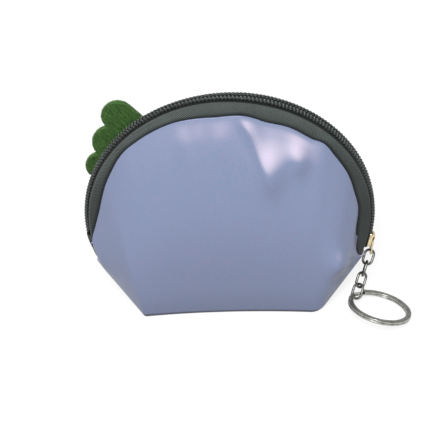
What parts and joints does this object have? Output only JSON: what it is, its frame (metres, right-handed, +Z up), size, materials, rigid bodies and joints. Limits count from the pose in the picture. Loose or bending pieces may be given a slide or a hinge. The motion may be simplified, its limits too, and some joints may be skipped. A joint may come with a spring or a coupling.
{
  "type": "zip purse",
  "caption": "Small zip purse with a boxed base, an arched coil zip, a slider with a pull, a short chain with a split ring, and a lobed plush leaf crest beside the zip.",
  "frame": {"origin": "middle of the base, on the surface that the purse stands on, in the plane of the zip", "axes": "+Z up; +X along the base towards the end where the closed slider sits; -Y out of the smooth back panel that the picture shows, +Y out of the plush front"},
  "size_m": [0.1326, 0.0531, 0.0978],
  "materials": {
    "lavender_cloth": "satin coated cloth, fine grain",
    "green_plush": "short brushed pile",
    "lime_plush": "short brushed pile, lighter",
    "lining_cloth": "plain woven",
    "zip_tape": "twill tape, charcoal",
    "zip_coil": "dark moulded coil",
    "pale_gold": "pale gold plating, satin",
    "chain_steel": "gunmetal plating, polished"
  },
  "bodies": {
    "purse": {"back_panel": "lavender_cloth", "back_lining": "lining_cloth", "back_tape": "zip_tape", "back_coil": "zip_coil", "front_panel_lower": "green_plush", "front_lining_lower": "lining_cloth", "front_tape_end_left": "zip_tape", "front_tape_end_right": "zip_tape", "front_coil_end_left": "zip_coil", "front_coil_end_right": "zip_coil"},
    "front_flap": {"front_panel_upper": "green_plush", "front_lining_upper": "lining_cloth", "front_tape": "zip_tape", "front_coil": "zip_coil", "leaf_near_layer": "green_plush", "leaf_far_layer": "lime_plush"},
    "slider": {"slider_body": "pale_gold"},
    "pull": {"pull_tab": "pale_gold"},
    "link_1": {"chain_link_1": "chain_steel"},
    "link_2": {"chain_link_2": "chain_steel"},
    "link_3": {"chain_link_3": "chain_steel"},
    "link_4": {"chain_link_4": "chain_steel"},
    "ring": {"split_ring": "chain_steel"}
  },
  "joints": [
    {"name": "slider_travel", "type": "hinge", "parent": "purse", "child": "slider", "pos_m": [0, 0, 0.0387], "axis": [0, -1, 0], "range_deg": [0, 195.1]},
    {"name": "mouth_open", "type": "hinge", "parent": "purse", "child": "front_flap", "pos_m": [0, 0, 0.02072], "axis": [-1, 0, 0], "range_deg": [0, 35]},
    {"name": "pull_swing", "type": "hinge", "parent": "slider", "child": "pull", "pos_m": [0.05896, 0, 0.02553], "axis": [0, -1, 0], "range_deg": [0, 160]},
    {"name": "link_1_swing", "type": "hinge", "parent": "pull", "child": "link_1", "pos_m": [0.05768, -0.00134, 0.01734], "axis": [-0.4249, -0.5422, 0.7249], "range_deg": [-10, 60]},
    {"name": "link_2_swing", "type": "hinge", "parent": "link_1", "child": "link_2", "pos_m": [0.05602, -0.00459, 0.01393], "axis": [-0.9431, 0.2138, 0.2548], "range_deg": [-35, 35]},
    {"name": "link_3_swing", "type": "hinge", "parent": "link_2", "child": "link_3", "pos_m": [0.05436, -0.00785, 0.01052], "axis": [-0.503, 0.7339, -0.4564], "range_deg": [-35, 35]},
    {"name": "link_4_swing", "type": "hinge", "parent": "link_3", "child": "link_4", "pos_m": [0.0527, -0.01111, 0.00711], "axis": [0.4249, 0.5422, -0.7249], "range_deg": [-35, 35]},
    {"name": "ring_swing", "type": "hinge", "parent": "link_4", "child": "ring", "pos_m": [0.05197, -0.01254, 0.00561], "axis": [0.4249, 0.5422, -0.7249], "range_deg": [-30, 30]}
  ]
}
